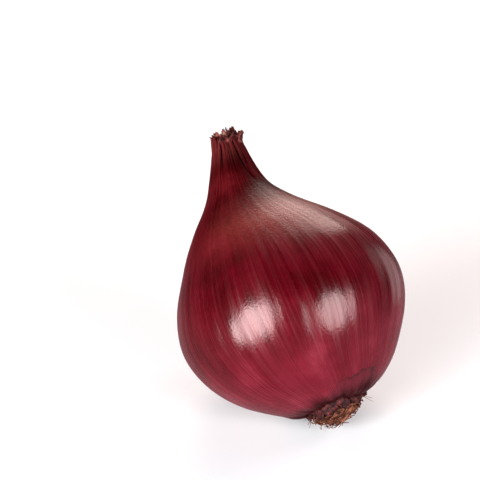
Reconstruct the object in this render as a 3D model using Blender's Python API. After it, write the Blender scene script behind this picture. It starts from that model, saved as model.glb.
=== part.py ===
"""A red onion: a round bulb whose dry skins run up into a pleated neck with a torn top, and
the root plate at its foot with the stubs of its dry roots. It lies on a small flat spot on
its belly, with the neck leaning back and to the left.

Run it with: blender --background --python part.py
All sizes are in metres. In the onion's own frame +Z runs from the roots to the neck, and
z = 0 is the lip of skin round the root plate. The finished onion stands in a frame with
+Z up, its lowest point at z = 0 and the middle of its box over the origin.
"""

import bpy
import bmesh
import math
import random
from mathutils import Matrix, Vector

# The onion's outline: height above the root lip, and radius there
OUTLINE = (
    (0.0000, 0.0098),  # lip of skin round the root plate
    (0.0018, 0.0160),
    (0.0096, 0.0263),
    (0.0212, 0.0348),
    (0.0335, 0.0381),  # belly, the widest place
    (0.0465, 0.0350),
    (0.0587, 0.0267),  # shoulder
    (0.0690, 0.0175),
    (0.0765, 0.0113),  # foot of the neck
    (0.0850, 0.0078),
    (0.0950, 0.0048),  # torn top of the neck
)
NECK_TOP = 0.0950

# The lip of skin round the root plate is torn: count of waves, height, phase
LIP_WAVES = ((3, 0.0003, 0.9), (5, 0.0003, 2.2), (13, 0.0002, 0.3))
LIP_TOP = 0.0030        # height at which the waves have died out

# How the bulb departs from a turned shape: count of waves, share of the radius, phase
LOBES = ((1, 0.0060, 0.0), (2, 0.0050, 0.6), (3, 0.0040, -1.1), (5, 0.0025, 2.0))
SWAY = 0.0024           # the neck's foot stands this far to the left of the bulb's axis
SWAY_HEIGHT = 0.0695
SWAY_SPREAD = 0.0120
TIP_RETURN = 0.0014     # and its top this far to the right
TIP_RETURN_FROM = 0.0820
ROOT_SWAY = 0.0019      # and the root plate this far to the right
ROOT_SWAY_SPREAD = 0.0080

# Pleats where the drying skins draw together into the neck
PLEATS = 11
PLEAT_DEPTH = (0.12, 0.26)      # share of the neck's radius
PLEAT_WIDTH = (0.11, 0.19)      # radians
PLEAT_START = (0.0690, 0.0790)  # height at which a pleat begins
PLEAT_GROWTH = 0.0130           # height over which it reaches its full depth
PLEAT_TWIST = 0.35              # radians, from the foot of the neck to its top
TWIST_FROM = 0.0680

# The neck's torn top: a ragged crown round a hollow, with dry leaf ends standing in it
CROWN_WAVES = ((2, 0.0010, 0.4), (3, 0.0009, 2.1), (7, 0.0008, 1.0), (11, 0.0006, 3.0))
CROWN_FOOT = 0.0910     # height from which the crown is ragged
CROWN_WALL = 0.0018
HOLLOW_DEPTH = 0.0014
LEAF_ENDS = 9
LEAF_LENGTH = (0.0052, 0.0071)
LEAF_WIDTH = (0.0030, 0.0046)
LEAF_THICKNESS = 0.0009
LEAF_SUNK = 0.0040      # depth of a leaf end's foot below the neck's top
LEAF_RING = 0.0026      # distance of the leaf ends from the neck's middle

# Root plate and roots
SOCKET_RADIUS = 0.0092
SOCKET_DEPTH = 0.0020
PLATE_GAP = 0.0003
PLATE_BULGE = 0.0034
ROOTS = 72
ROOT_RADIUS = (0.00034, 0.00048)
ROOT_LENGTH = (0.0038, 0.0068)
ROOT_RING = 0.0076      # the outermost roots stand this far from the axis
ROOT_MATTING = 0.9      # how strongly the roots turn back towards the plate
ROOT_SIDES = 4
ROOT_STEPS = 4
ROOT_SUNK = 0.0011
ROOT_CLEAR_OF_SKIN = 0.0010
ROOT_CLEAR_OF_TABLE = 0.0007

# How the onion lies
LEAN = math.radians(39.6)       # of its axis from upright
HEADING = math.radians(126.3)   # of the neck, counted from +X towards +Y
TURN = math.radians(-122.8)     # about its own axis
FLAT_DEPTH = 0.0008             # of the flat spot that it rests on

# How finely the solids are faceted
SEGMENTS = 84
RINGS = 40


def between(limits, share):
    """The value at this share of the way from the lower limit to the upper."""
    return limits[0] + (limits[1] - limits[0]) * share


def smooth_step(low, high, value):
    """0 at low, 1 at high, and a smooth rise between them."""
    t = min(1.0, max(0.0, (value - low) / (high - low)))
    return t * t * (3 - 2 * t)


def outline_point(share):
    """A point of the outline, as (radius, height), on a smooth curve through its points."""
    spans = len(OUTLINE) - 1
    span = min(int(share * spans), spans - 1)
    t = share * spans - span
    before, start, end, after = (
        Vector(OUTLINE[min(max(span + k, 0), spans)]) for k in (-1, 0, 1, 2)
    )
    point = 0.5 * (
        2 * start
        + (end - before) * t
        + (2 * before - 5 * start + 4 * end - after) * t ** 2
        + (3 * start - before - 3 * end + after) * t ** 3
    )
    return point.y, point.x


def sway(height):
    """Sideways shift of the onion's middle line along its own X."""
    foot = math.exp(-(((height - SWAY_HEIGHT) / SWAY_SPREAD) ** 2))
    tip = smooth_step(TIP_RETURN_FROM, NECK_TOP, height)
    root = math.exp(-((max(0.0, height - SOCKET_DEPTH) / ROOT_SWAY_SPREAD) ** 2))
    return TIP_RETURN * tip - SWAY * foot + ROOT_SWAY * root


def pleat_rules():
    """Angle, depth, width and starting height of each pleat."""
    draw = random.Random(11)
    rules = []
    for number in range(PLEATS):
        angle = (number + draw.uniform(-0.28, 0.28)) * math.tau / PLEATS
        depth = between(PLEAT_DEPTH, draw.random())
        width = between(PLEAT_WIDTH, draw.random())
        start = between(PLEAT_START, draw.random())
        rules.append((angle, depth, width, start))
    return rules


def skin_share(angle, height, pleats):
    """Radius of the skin at this angle and height, as a share of the outline's."""
    share = 1.0
    roundness = math.sin(math.pi * min(1.0, height / SWAY_HEIGHT)) if height > 0 else 0.0
    for count, size, phase in LOBES:
        share += size * roundness * math.cos(count * angle + phase)
    twisted = angle - PLEAT_TWIST * (height - TWIST_FROM) / (NECK_TOP - TWIST_FROM)
    for at, depth, width, start in pleats:
        away = (twisted - at + math.pi) % math.tau - math.pi
        grown = smooth_step(start, start + PLEAT_GROWTH, height)
        share -= depth * grown * math.exp(-((away / width) ** 2))
    return share


def ragged_rise(angle, height):
    """How far the torn edges, at the neck's top and round the roots, stand off an even ring."""
    crown = sum(size * math.sin(count * angle + phase) for count, size, phase in CROWN_WAVES)
    lip = sum(size * math.sin(count * angle + phase) for count, size, phase in LIP_WAVES)
    return crown * smooth_step(CROWN_FOOT, NECK_TOP, height) + lip * smooth_step(
        LIP_TOP, 0.0, height
    )


def mesh_object(name, bm, material):
    """A new object from a bmesh, with its normals outwards and round faces shaded smooth."""
    bmesh.ops.recalc_face_normals(bm, faces=bm.faces)
    mesh = bpy.data.meshes.new(name)
    bm.to_mesh(mesh)
    bm.free()
    mesh.shade_smooth()
    mesh.set_sharp_from_angle(angle=math.radians(40))
    made = bpy.data.objects.new(name, mesh)
    bpy.context.collection.objects.link(made)
    made.data.materials.append(material)
    return made


def spin_profile(profile, segments):
    """A closed turned body from a profile of (radius, height) that starts and ends on the axis."""
    bm = bmesh.new()
    points = [bm.verts.new((radius, 0.0, height)) for radius, height in profile]
    edges = [bm.edges.new(pair) for pair in zip(points, points[1:])]
    bmesh.ops.spin(
        bm, geom=points + edges, cent=(0, 0, 0), axis=(0, 0, 1),
        angle=math.tau, steps=segments, use_merge=True, use_duplicate=False,
    )
    bmesh.ops.remove_doubles(bm, verts=bm.verts, dist=1e-6)
    return bm


def bulb_body(pleats):
    """The bulb and neck in the onion's own frame, with a socket for the root plate below."""
    socket = [(0.0, SOCKET_DEPTH), (SOCKET_RADIUS, SOCKET_DEPTH), (SOCKET_RADIUS, 0.0004)]
    skin = [outline_point(step / RINGS) for step in range(RINGS + 1)]
    rim = OUTLINE[-1][1] - CROWN_WALL
    hollow = [
        (rim, NECK_TOP),
        (rim * 0.9, NECK_TOP - HOLLOW_DEPTH),
        (0.0, NECK_TOP - HOLLOW_DEPTH),
    ]
    bm = spin_profile(socket + skin + hollow, SEGMENTS)
    for vert in bm.verts:
        height = vert.co.z
        angle = math.atan2(vert.co.y, vert.co.x)
        share = skin_share(angle, height, pleats)
        vert.co.x = vert.co.x * share + sway(height)
        vert.co.y = vert.co.y * share
        vert.co.z += ragged_rise(angle, height)
    return bm


def tube(path, across, along, sides, taper, cut=0.0):
    """A closed rod along a path. Its section is an ellipse of two half widths. It tapers, and
    its end is cut at a slant."""
    bm = bmesh.new()
    rings = []
    last = len(path) - 1
    heading = Vector((0, 0, 1))
    turn = Matrix.Identity(4)
    for number, point in enumerate(path):
        ahead = (path[min(number + 1, last)] - path[max(number - 1, 0)]).normalized()
        turn = heading.rotation_difference(ahead).to_matrix().to_4x4() @ turn
        heading = ahead
        size = 1.0 - taper * (number / last) ** 1.5
        slant = Matrix.Rotation(cut if number == last else 0.0, 4, "X")
        section = slant @ Matrix.Diagonal((across, along * size, 1, 1))
        place = Matrix.Translation(point) @ turn @ section
        ring = bmesh.ops.create_circle(
            bm, segments=sides, radius=1.0, cap_ends=number in (0, last), matrix=place
        )["verts"]
        rings.append(list({edge for vert in ring for edge in vert.link_edges}))
    for low, high in zip(rings, rings[1:]):
        bmesh.ops.bridge_loops(bm, edges=low + high)
    return bm


def new_collection(name):
    """An empty collection in the scene."""
    made = bpy.data.collections.new(name)
    bpy.context.scene.collection.children.link(made)
    return made


def move_to(collection, made):
    """Takes an object out of the scene's collection and into this one."""
    bpy.context.collection.objects.unlink(made)
    collection.objects.link(made)


def add_leaf_ends(material):
    """The dry leaf ends that stand in the neck's top, as objects of one collection."""
    draw = random.Random(56)
    ends = new_collection("leaf_ends")
    for number in range(LEAF_ENDS):
        facing = number * math.tau / LEAF_ENDS + draw.uniform(-0.25, 0.25)
        length = between(LEAF_LENGTH, draw.random())
        width = between(LEAF_WIDTH, draw.random())
        stand = LEAF_RING * (1.0 if number % 2 else 0.35)
        flare = draw.uniform(-0.0004, 0.0020)
        slant = draw.uniform(-0.0010, 0.0010)
        path = []
        for step in range(6):
            t = step / 5
            path.append(Vector((stand + flare * t ** 3, slant * t * t, length * t)))
        cut = draw.choice((-1, 1)) * draw.uniform(0.3, 0.7)
        bm = tube(path, LEAF_THICKNESS / 2, width / 2, 8, 0.35, cut)
        bm.transform(
            Matrix.Translation((sway(NECK_TOP), 0, NECK_TOP - LEAF_SUNK))
            @ Matrix.Rotation(facing, 4, "Z")
        )
        move_to(ends, mesh_object(f"leaf_end_{number}", bm, material))
    return ends


def unite(target, others):
    """Joins the objects of a collection to the target in one Boolean union, then removes them."""
    union = target.modifiers.new("union", "BOOLEAN")
    union.operation = "UNION"
    union.operand_type = "COLLECTION"
    union.collection = others
    union.solver = "MANIFOLD"
    bpy.context.view_layer.update()
    joined = bpy.data.meshes.new_from_object(
        target.evaluated_get(bpy.context.evaluated_depsgraph_get())
    )
    target.modifiers.clear()
    target.data = joined
    for other in list(others.objects):
        bpy.data.objects.remove(other)
    bpy.data.collections.remove(others)


def lean_matrix():
    """Turns the onion's own frame to the way that it lies."""
    return (
        Matrix.Rotation(HEADING, 4, "Z")
        @ Matrix.Rotation(LEAN, 4, "Y")
        @ Matrix.Rotation(TURN, 4, "Z")
    )


def cut_flat_spot(bm, lean):
    """Cuts the flat spot that the leaning bulb rests on, and returns its height as it leans."""
    lowest = min((lean @ vert.co).z for vert in bm.verts)
    spot = lowest + FLAT_DEPTH
    down = lean.inverted() @ Vector((0, 0, -1))
    bmesh.ops.bisect_plane(
        bm, geom=bm.verts[:] + bm.edges[:] + bm.faces[:], dist=1e-7,
        plane_co=-down * spot, plane_no=down, clear_outer=True,
    )
    rim = [edge for edge in bm.edges if edge.is_boundary]
    bmesh.ops.contextual_create(bm, geom=rim)
    return spot


def plate_body():
    """The root plate, a shallow dome that sits in the bulb's socket."""
    radius = SOCKET_RADIUS - PLATE_GAP
    back = SOCKET_DEPTH - PLATE_GAP
    arc = [
        (radius * math.sin(math.radians(a)), -PLATE_BULGE * math.cos(math.radians(a)))
        for a in range(0, 91, 15)
    ]
    bm = spin_profile(arc + [(radius, back), (0.0, back)], 36)
    bmesh.ops.translate(bm, verts=bm.verts, vec=(ROOT_SWAY, 0, 0))
    return bm


def root_path(number, draw, lean, table):
    """The middle line of one root, which leaves the plate, bends over and mats with the rest."""
    share = math.sqrt((number + 0.5) / ROOTS)
    around = number * math.pi * (3 - math.sqrt(5))
    outward = Vector((math.cos(around), math.sin(around), 0))
    sideways = Vector((-outward.y, outward.x, 0)) * draw.choice((-1, 1))
    length = between(ROOT_LENGTH, draw.random())
    heading = Vector((0, 0, -1)) + outward * (0.2 + 0.5 * share + draw.uniform(-0.2, 0.2))
    bend = sideways * draw.uniform(0.3, 1.2) + outward * draw.uniform(-0.5, 0.1) * share
    bend.z = draw.uniform(0.0, ROOT_MATTING)
    point = outward * ROOT_RING * share + Vector((ROOT_SWAY, 0, 0))
    point.z = ROOT_SUNK - PLATE_BULGE * math.sqrt(1 - share ** 2)
    path = [point.copy()]
    for step in range(ROOT_STEPS):
        heading = (heading + bend * (0.5 * step)).normalized()
        point = point + heading * (length + ROOT_SUNK) / ROOT_STEPS
        if step > 0:
            point.z = min(point.z, -ROOT_CLEAR_OF_SKIN)
        laid = lean @ point
        laid.z = max(laid.z, table + ROOT_CLEAR_OF_TABLE + ROOT_RADIUS[1])
        point = lean.inverted() @ laid
        path.append(point.copy())
    return path


def add_roots(material, lean, table):
    """The dry roots, as objects of one collection."""
    draw = random.Random(7)
    roots = new_collection("roots")
    for number in range(ROOTS):
        path = root_path(number, draw, lean, table)
        radius = between(ROOT_RADIUS, draw.random())
        bm = tube(path, radius, radius, ROOT_SIDES, 0.35)
        move_to(roots, mesh_object(f"root_{number}", bm, material))
    return roots


def finish(name, colour, roughness):
    """A Principled material of one colour."""
    material = bpy.data.materials.new(name)
    material.use_nodes = True
    shader = material.node_tree.nodes["Principled BSDF"]
    shader.inputs["Base Color"].default_value = (*colour, 1.0)
    shader.inputs["Roughness"].default_value = roughness
    shader.inputs["Metallic"].default_value = 0.0
    return material


def stand_on_origin(holder, parts):
    """Moves the holder so that the parts' box stands on z = 0 with its middle over the origin."""
    bpy.context.view_layer.update()
    corners = [part.matrix_world @ vert.co for part in parts for vert in part.data.vertices]
    low = Vector(min(corner[axis] for corner in corners) for axis in range(3))
    high = Vector(max(corner[axis] for corner in corners) for axis in range(3))
    middle = (low + high) / 2
    holder.location -= Vector((middle.x, middle.y, low.z))


def main():
    for old in list(bpy.data.objects):
        bpy.data.objects.remove(old)
    red_skin = finish("red_skin", (0.130, 0.006, 0.016), 0.32)
    dry_root = finish("dry_root", (0.300, 0.140, 0.060), 0.85)

    lean = lean_matrix()
    bm = bulb_body(pleat_rules())
    table = cut_flat_spot(bm, lean)
    bulb = mesh_object("bulb", bm, red_skin)
    unite(bulb, add_leaf_ends(red_skin))

    plate = mesh_object("root_tuft", plate_body(), dry_root)
    unite(plate, add_roots(dry_root, lean, table))

    holder = bpy.data.objects.new("onion", None)
    bpy.context.collection.objects.link(holder)
    holder.rotation_euler = lean.to_euler()
    for part in (bulb, plate):
        part.parent = holder
    stand_on_origin(holder, (bulb, plate))
    bpy.context.view_layer.update()


main()
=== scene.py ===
# %% [markdown]
# # A red onion, dressed for its portrait
#
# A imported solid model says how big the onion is, where it lies and what it weighs. This
# lesson puts the looks on top of it: thin glossy skin, a pleated and torn neck, and a tuft
# of dry roots. The solid is loaded first and never moved, so that everything which is made
# below can be measured against it.

import math
import random

import bmesh
import bpy
import numpy as np
from mathutils import Matrix, Vector
from mathutils import noise as space_noise


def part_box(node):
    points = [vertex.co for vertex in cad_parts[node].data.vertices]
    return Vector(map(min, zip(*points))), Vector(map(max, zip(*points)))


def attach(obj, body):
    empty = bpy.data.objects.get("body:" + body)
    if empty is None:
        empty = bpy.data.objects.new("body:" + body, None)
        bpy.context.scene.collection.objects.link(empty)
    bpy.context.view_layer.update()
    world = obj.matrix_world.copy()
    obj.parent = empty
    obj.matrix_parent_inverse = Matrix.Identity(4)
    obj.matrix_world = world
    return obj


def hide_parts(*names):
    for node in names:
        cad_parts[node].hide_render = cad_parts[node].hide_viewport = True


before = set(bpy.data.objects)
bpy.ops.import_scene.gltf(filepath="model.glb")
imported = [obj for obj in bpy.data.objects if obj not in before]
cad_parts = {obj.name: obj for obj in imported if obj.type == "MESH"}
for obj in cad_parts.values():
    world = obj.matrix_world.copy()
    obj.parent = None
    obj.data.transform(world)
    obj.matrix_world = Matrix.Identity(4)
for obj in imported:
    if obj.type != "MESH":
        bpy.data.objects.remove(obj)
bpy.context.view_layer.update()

# %% [markdown]
# ## The outline
#
# An onion is nearly a turned shape, so one outline from the roots to the neck describes most
# of it. It could be a curve object, but eleven points with a smooth curve through them are
# enough, and they are easy to compare with a picture. Each point is a height along the
# onion's own axis and the radius there, in metres.

# %% Outline of the bulb and neck
OUTLINE = (
    (0.0000, 0.0098),  # lip of skin round the root plate
    (0.0018, 0.0160),
    (0.0096, 0.0263),
    (0.0212, 0.0348),
    (0.0335, 0.0381),  # belly
    (0.0465, 0.0350),
    (0.0587, 0.0267),  # shoulder
    (0.0690, 0.0175),
    (0.0765, 0.0113),  # foot of the neck
    (0.0850, 0.0078),
    (0.0950, 0.0048),  # torn top
)
NECK_TOP = 0.0950
BELLY_HEIGHT = 0.0335
BELLY_RADIUS = 0.0381


def outline_point(share):
    """A point of the outline, as (radius, height), on a smooth curve through its points."""
    spans = len(OUTLINE) - 1
    span = min(int(share * spans), spans - 1)
    t = share * spans - span
    before, start, end, after = (
        Vector(OUTLINE[min(max(span + k, 0), spans)]) for k in (-1, 0, 1, 2)
    )
    point = 0.5 * (
        2 * start
        + (end - before) * t
        + (2 * before - 5 * start + 4 * end - after) * t ** 2
        + (3 * start - before - 3 * end + after) * t ** 3
    )
    return point.y, point.x


print("half way up, the radius is", round(1000 * outline_point(0.5)[0], 1), "mm")

# %% [markdown]
# ## Departures from a turned shape
#
# A real bulb is never quite round, its neck stands a little to one side and its root plate to
# the other. These departures are small waves and shifts that depend only on the angle round
# the axis and the height. Working on whole arrays of points keeps the script fast, even with
# tens of thousands of points.

# %% Lobes, sway and torn edges
LOBES = ((1, 0.0060, 0.0), (2, 0.0050, 0.6), (3, 0.0040, -1.1), (5, 0.0025, 2.0))
SWAY = 0.0024
SWAY_HEIGHT = 0.0695
SWAY_SPREAD = 0.0120
TIP_RETURN = 0.0014
TIP_RETURN_FROM = 0.0820
ROOT_SWAY = 0.0019
ROOT_SWAY_SPREAD = 0.0080
SOCKET_DEPTH = 0.0020


def smooth_step(low, high, value):
    """0 at low, 1 at high, and a smooth rise between them."""
    t = np.clip((np.asarray(value, float) - low) / (high - low), 0.0, 1.0)
    return t * t * (3 - 2 * t)


def bell(centre, spread, value):
    """1 at the centre, dying away on both sides."""
    return np.exp(-(((np.asarray(value, float) - centre) / spread) ** 2))


def sway(height):
    """Sideways shift of the onion's middle line along its own X."""
    foot = bell(SWAY_HEIGHT, SWAY_SPREAD, height)
    tip = smooth_step(TIP_RETURN_FROM, NECK_TOP, height)
    root = bell(0.0, ROOT_SWAY_SPREAD, np.maximum(0.0, np.asarray(height) - SOCKET_DEPTH))
    return TIP_RETURN * tip - SWAY * foot + ROOT_SWAY * root


def waves(angle, table):
    """Sum of sine waves round the axis, from a table of (count, size, phase)."""
    return sum(size * np.sin(count * angle + phase) for count, size, phase in table)


print("the neck's top stands", round(1000 * float(sway(NECK_TOP)), 2), "mm off the axis")

# %% [markdown]
# ## Pleats and ribs
#
# Where the skins dry and draw together they fold into pleats, deep at the neck's top and gone
# at the shoulder. The main folds are a table: those at 180 to 360 degrees are read from the
# picture, and the others go on behind it. Small creases lie between them. On the belly only
# the veins show, as fine ribs that run from pole to pole and break a highlight into streaks.
# Creases and ribs are rules with seeded random numbers, so they look irregular and yet come
# out the same on every run.

# %% Rules for pleats and ribs
NECK_FOLDS = (
    # degrees round the axis at the top and at the foot, depth, width in radians, starting height
    (20, 15, 0.12, 0.08, 0.0770),
    (52, 50, 0.08, 0.06, 0.0800),
    (88, 96, 0.16, 0.08, 0.0740),
    (128, 124, 0.10, 0.06, 0.0790),
    (163, 168, 0.14, 0.08, 0.0750),
    (198, 190, 0.12, 0.08, 0.0770),
    (221, 214, 0.08, 0.05, 0.0810),
    (236, 230, 0.09, 0.04, 0.0850),
    (250, 244, 0.12, 0.05, 0.0800),
    (265, 264, 0.08, 0.04, 0.0840),
    (279, 286, 0.11, 0.05, 0.0770),
    (297, 313, 0.14, 0.055, 0.0740),
    (311, 318, 0.07, 0.04, 0.0820),
    (325, 324, 0.09, 0.05, 0.0790),
    (345, 335, 0.13, 0.06, 0.0740),
)
FOLD_SHARPNESS = 1.3
CREASES = 60
CREASE_TWIST = 0.15                  # radians either way, from top to foot
CREASE_DEPTHS = (0.02, 0.07)         # as shares of the radius
CREASE_WIDTHS = (0.02, 0.05)         # radians
CREASE_STARTS = (0.0740, 0.0880)
CREASE_SHARPNESS = 1.4
PLEAT_GROWTH = 0.0110                # way on which a pleat grows to its full depth
RIB_COUNTS = range(13, 62)
RIB_HEIGHT = 0.000080


def fold_rules():
    """The main folds, with their angles in radians."""
    return [
        (math.radians(top), math.radians(foot), depth, width, start)
        for top, foot, depth, width, start in NECK_FOLDS
    ]


def crease_rules():
    """Finer creases between the main folds."""
    draw = random.Random(29)
    rules = []
    for number in range(CREASES):
        angle = draw.uniform(0, math.tau)
        rules.append((
            angle, angle + draw.uniform(-CREASE_TWIST, CREASE_TWIST), draw.uniform(*CREASE_DEPTHS),
            draw.uniform(*CREASE_WIDTHS), draw.uniform(*CREASE_STARTS),
        ))
    return rules


def pleat_depth(angle, height, rules, sharpness):
    """How deep the pleats are at each point, as a share of the radius there."""
    depth = np.zeros_like(angle)
    for top, foot, deepest, width, start in rules:
        at = foot + (top - foot) * smooth_step(start, NECK_TOP, height)
        away = np.abs((angle - at + math.pi) % math.tau - math.pi)
        grown = smooth_step(start, start + PLEAT_GROWTH, height)
        depth += deepest * grown * np.exp(-((away / width) ** sharpness))
    return depth


def rib_height(angle, height):
    """The veins' relief, from -1 to 1 or so. They wander a little on their way up."""
    draw = random.Random(5)
    relief = np.zeros_like(angle)
    wander = 0.02 * np.sin(height * 95.0) + 0.012 * np.sin(height * 230.0 + 2.0 * angle)
    for count in RIB_COUNTS:
        size = draw.uniform(0.3, 1.0) / math.sqrt(count)
        relief += size * np.sin(count * (angle + wander) + draw.uniform(0, math.tau))
    return relief


print(len(NECK_FOLDS), "folds and", CREASES, "creases between them")

# %% [markdown]
# ## Turning the skin
#
# The skin starts as half an outline that is spun round the axis, which is how a lathe makes a
# bowl. Spinning with `use_merge` closes the seam. The profile also goes over the neck's top and
# down inside it, because a torn neck is hollow, and under the root plate, so the mesh is closed.

# %% Spin the outline
SPAN_RINGS = (30, 28, 16, 12, 12, 12, 14, 16, 22, 22)  # finer where the skin is torn or pleated
SKIN_SEGMENTS = 420
SOCKET_RADIUS = 0.0092
SOCKET_LIP = 0.0006
NECK_WALL = 0.0008
NECK_HOLLOW = 0.0034


def turned_body(profile, segments):
    """A closed turned body from a profile of (radius, height) that starts and ends on the axis."""
    bm = bmesh.new()
    points = [bm.verts.new((radius, 0.0, height)) for radius, height in profile]
    edges = [bm.edges.new(pair) for pair in zip(points, points[1:])]
    bmesh.ops.spin(
        bm, geom=points + edges, cent=(0, 0, 0), axis=(0, 0, 1),
        angle=math.tau, steps=segments, use_merge=True, use_duplicate=False,
    )
    bmesh.ops.remove_doubles(bm, verts=bm.verts, dist=1e-6)
    bmesh.ops.recalc_face_normals(bm, faces=bm.faces)
    return bm


def new_piece(name, bm):
    """A smooth-shaded object in the scene from a bmesh, which is freed."""
    mesh = bpy.data.meshes.new(name)
    bm.to_mesh(mesh)
    bm.free()
    mesh.shade_smooth()
    piece = bpy.data.objects.new(name, mesh)
    bpy.context.collection.objects.link(piece)
    return piece


def read_points(mesh):
    """The mesh's points as an array with a row for each."""
    flat = np.empty(len(mesh.vertices) * 3, np.float32)
    mesh.vertices.foreach_get("co", flat)
    return flat.reshape(-1, 3).astype(float)


def write_points(mesh, points):
    mesh.vertices.foreach_set("co", points.astype(np.float32).ravel())
    mesh.update()


neck_mouth = OUTLINE[-1][1] - NECK_WALL
skin_profile = [(0.0, SOCKET_DEPTH), (SOCKET_RADIUS, SOCKET_DEPTH), (SOCKET_RADIUS, SOCKET_LIP)]
for span, rings in enumerate(SPAN_RINGS):
    skin_profile += [outline_point((span + ring / rings) / len(SPAN_RINGS)) for ring in range(rings)]
skin_profile += [
    outline_point(1.0),
    (neck_mouth, NECK_TOP),
    (neck_mouth * 0.95, NECK_TOP - NECK_HOLLOW * 0.5),
    (neck_mouth * 0.85, NECK_TOP - NECK_HOLLOW),
    (0.0, NECK_TOP - NECK_HOLLOW * 0.9),
]
skin = new_piece("onion_skin", turned_body(skin_profile, SKIN_SEGMENTS))
print("the skin has", len(skin.data.vertices), "points")

# %% [markdown]
# ## Torn edges
#
# The outermost skin is as thin as paper and ends in a ragged line near the roots, further up on
# the side that shows, where the line is dark and ends in a small scab. The neck's rim and the
# lip round the root plate are ragged too. Sums of a few waves make such lines, because waves
# meet themselves again after a full turn.

# %% Rules for torn edges
OUTER_SKIN = 0.00016                   # thickness of the torn outermost skin
OUTER_EDGE = 0.0016                    # height at which it ends, most of the way round
TEAR_HEIGHT = 0.0042                   # how much further up it is torn on one side
TEAR_RADIUS = BELLY_RADIUS / 1.6       # the onion's radius about where it is torn
TEAR_ANGLE = math.radians(300)
TEAR_WIDTH = 0.50                      # radians
TEAR_WAVES = ((7, 0.0004, 0.3), (19, 0.0003, 1.7), (43, 0.0002, 0.2))
TEAR_LINE = (0.00040, 0.36)            # height and angle over which its dark line fades
SCAB = (0.29, 0.0050)                  # angle past the tear's middle, and height
SCAB_SIZE = (0.035, 0.0007)            # angle and height over which it fades
CROWN_WAVES = ((2, 0.0006, 0.4), (3, 0.0006, 2.1), (7, 0.0006, 1.0), (11, 0.0005, 3.0),
               (19, 0.0004, 0.7))
CROWN_FOOT = 0.0910
LIP_WAVES = ((3, 0.0003, 0.9), (5, 0.0003, 2.2), (13, 0.0002, 0.3), (37, 0.0001, 1.1))
LIP_TOP = 0.0030


def outer_edge(angle):
    """Height at which the outermost skin is torn off."""
    away = np.abs((angle - TEAR_ANGLE + math.pi) % math.tau - math.pi)
    return OUTER_EDGE + TEAR_HEIGHT * np.exp(-((away / TEAR_WIDTH) ** 4)) + waves(angle, TEAR_WAVES)


def tear_darkness(angle, height):
    """The torn edge's dark line, which ends in a small scab."""
    away = (angle - TEAR_ANGLE + math.pi) % math.tau - math.pi
    line = bell(0.0, TEAR_LINE[0], height - outer_edge(angle)) * bell(0.0, TEAR_LINE[1], away)
    scab = bell(0.0, SCAB_SIZE[1], height - SCAB[1]) * bell(0.0, SCAB_SIZE[0], away - SCAB[0])
    return np.clip(0.8 * line + scab, 0.0, 1.0)


print("the skin's torn edge lies", round(1000 * float(outer_edge(TEAR_ANGLE)), 1), "mm up, in front")

# %% [markdown]
# ## Shaping the skin
#
# Every point is now moved by the rules above. The angle and height that it had on the turned
# body are kept as attributes, so that the material's streaks can follow the veins wherever the
# surface goes. How dry, how creased and how near the roots each point is are kept the same way,
# each as a share from 0 to 1. The table says over which heights such a share rises or falls.

# %% Shape the skin and remember where each point came from
BARE_RISE = (0.0003, -0.0003)          # heights past the torn edge
DRY_RISE = (0.062, 0.078)              # heights at which these shares are 0 and 1
TIP_RISE = (0.084, 0.094)
MATT_RISE = (0.042, 0.068)
LOW_RISE = (0.034, 0.009)
FOOT_RISE = (0.0042, 0.0003)
FOOT_WAVES = ((2, 0.0004, 0.3), (5, 0.0004, 1.9), (11, 0.0004, 0.6), (31, 0.0003, 2.4))
SHOULDER_BAND = (0.0638, 0.0082)       # middle height and spread of the shoulder's tan tinge and painted sheen
SHOULDER_SIDE = math.radians(318)
SHEEN_HAZE_BAND = (0.0530, 0.0100)          # the same for the painted sheen haze below it
SHEEN_HAZE_SIDE = math.radians(335)
FULL_CREASE = 0.15                     # depth at which a crease's painted shade is darkest


def skin_share(angle, height, creases, ribs):
    """Radius of the skin, as a share of the outline's."""
    roundness = np.where(height > 0, np.sin(np.pi * np.minimum(1.0, height / SWAY_HEIGHT)), 0.0)
    lobes = sum(size * np.cos(count * angle + phase) for count, size, phase in LOBES)
    veins = ribs * RIB_HEIGHT / BELLY_RADIUS * smooth_step(0.002, 0.012, height)
    return 1.0 + roundness * lobes + veins - creases


def facing(angle, side):
    """1 on the given side of the onion, 0 on the other."""
    return 0.5 + 0.5 * np.cos(angle - side)


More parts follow.
